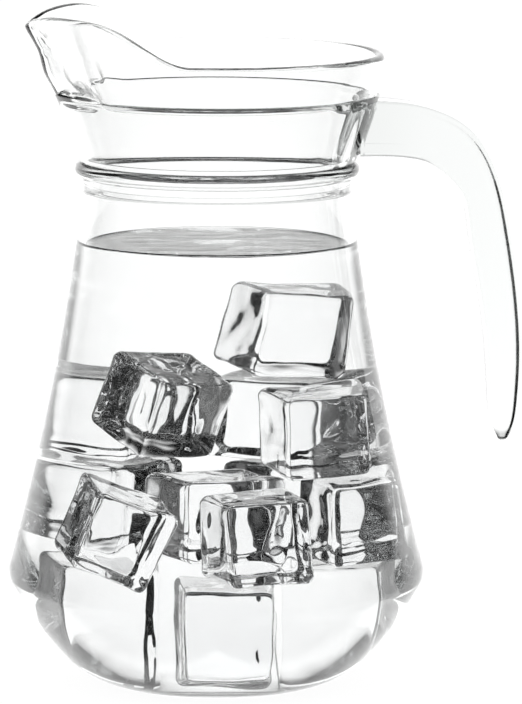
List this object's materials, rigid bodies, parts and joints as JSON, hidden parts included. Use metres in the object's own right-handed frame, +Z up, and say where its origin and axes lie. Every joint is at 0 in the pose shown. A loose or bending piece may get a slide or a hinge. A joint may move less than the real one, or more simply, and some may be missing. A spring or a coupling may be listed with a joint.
{
  "type": "glass pitcher",
  "caption": "Tapered glass pitcher with a pulled spout, neck ring, flared collar and open handle, filled with water and clear ice cubes.",
  "frame": {"origin": "on the jug's axis, in the plane its foot stands on", "axes": "+Z up along the jug's axis, +X towards the handle, -X towards the spout"},
  "size_m": [0.1677, 0.1362, 0.2217],
  "materials": {
    "jug_glass": "clear polished glass",
    "handle_glass": "clear polished glass",
    "water": "clear still water",
    "ice": "clear, glossy and slightly wavy"
  },
  "bodies": {
    "jug": {"jug_body": "jug_glass", "handle": "handle_glass", "water": "water", "ice_cube_01": "ice", "ice_cube_02": "ice", "ice_cube_03": "ice", "ice_cube_04": "ice", "ice_cube_05": "ice", "ice_cube_06": "ice", "ice_cube_07": "ice", "ice_cube_08": "ice", "ice_cube_09": "ice", "ice_cube_10": "ice", "ice_cube_12": "ice", "ice_cube_13": "ice", "ice_cube_14": "ice"},
    "top_cube": {"ice_cube_15": "ice"},
    "side_cube": {"ice_cube_11": "ice"}
  },
  "joints": [
    {"name": "top_cube_lift", "type": "slide", "parent": "jug", "child": "top_cube", "axis": [-0.01, 0.0499, 0.9987], "range_m": [0, 0.11], "deforming": ["water"]},
    {"name": "side_cube_lift", "type": "slide", "parent": "jug", "child": "side_cube", "axis": [0.0496, 0.119, 0.9917], "range_m": [0, 0.07], "deforming": ["water"]}
  ]
}
